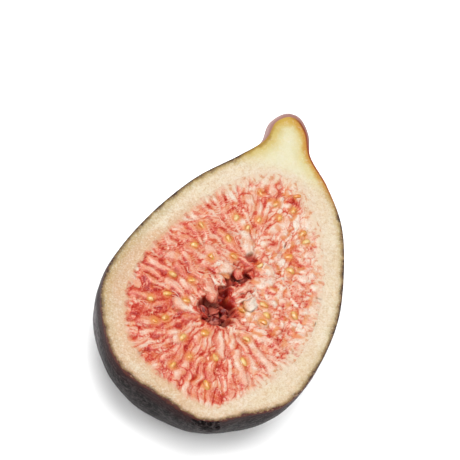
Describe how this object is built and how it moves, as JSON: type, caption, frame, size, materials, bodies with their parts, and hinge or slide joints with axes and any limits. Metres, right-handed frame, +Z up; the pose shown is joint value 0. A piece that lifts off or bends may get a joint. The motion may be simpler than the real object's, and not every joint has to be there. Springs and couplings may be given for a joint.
{
  "type": "halved fresh fig",
  "caption": "Half of a ripe fig cut lengthways: dark purple skin and pale rind round a pink-red pulp of radial florets and seeds, with a hollow middle and a short neck.",
  "frame": {"origin": "centre of the small flat spot on the rounded back that the half fig rests on", "axes": "+Z up, square to the cut face; +Y from the eye at the blossom end to the stem; +X across the cut face"},
  "size_m": [0.0454, 0.0721, 0.0223],
  "materials": {
    "rind": "thin satin fig skin with a faint bloom, over pale flesh",
    "pulp": "moist, translucent pink-red florets with golden seeds"
  },
  "bodies": {
    "root": {"rind": "rind", "pulp": "pulp"}
  },
  "joints": []
}
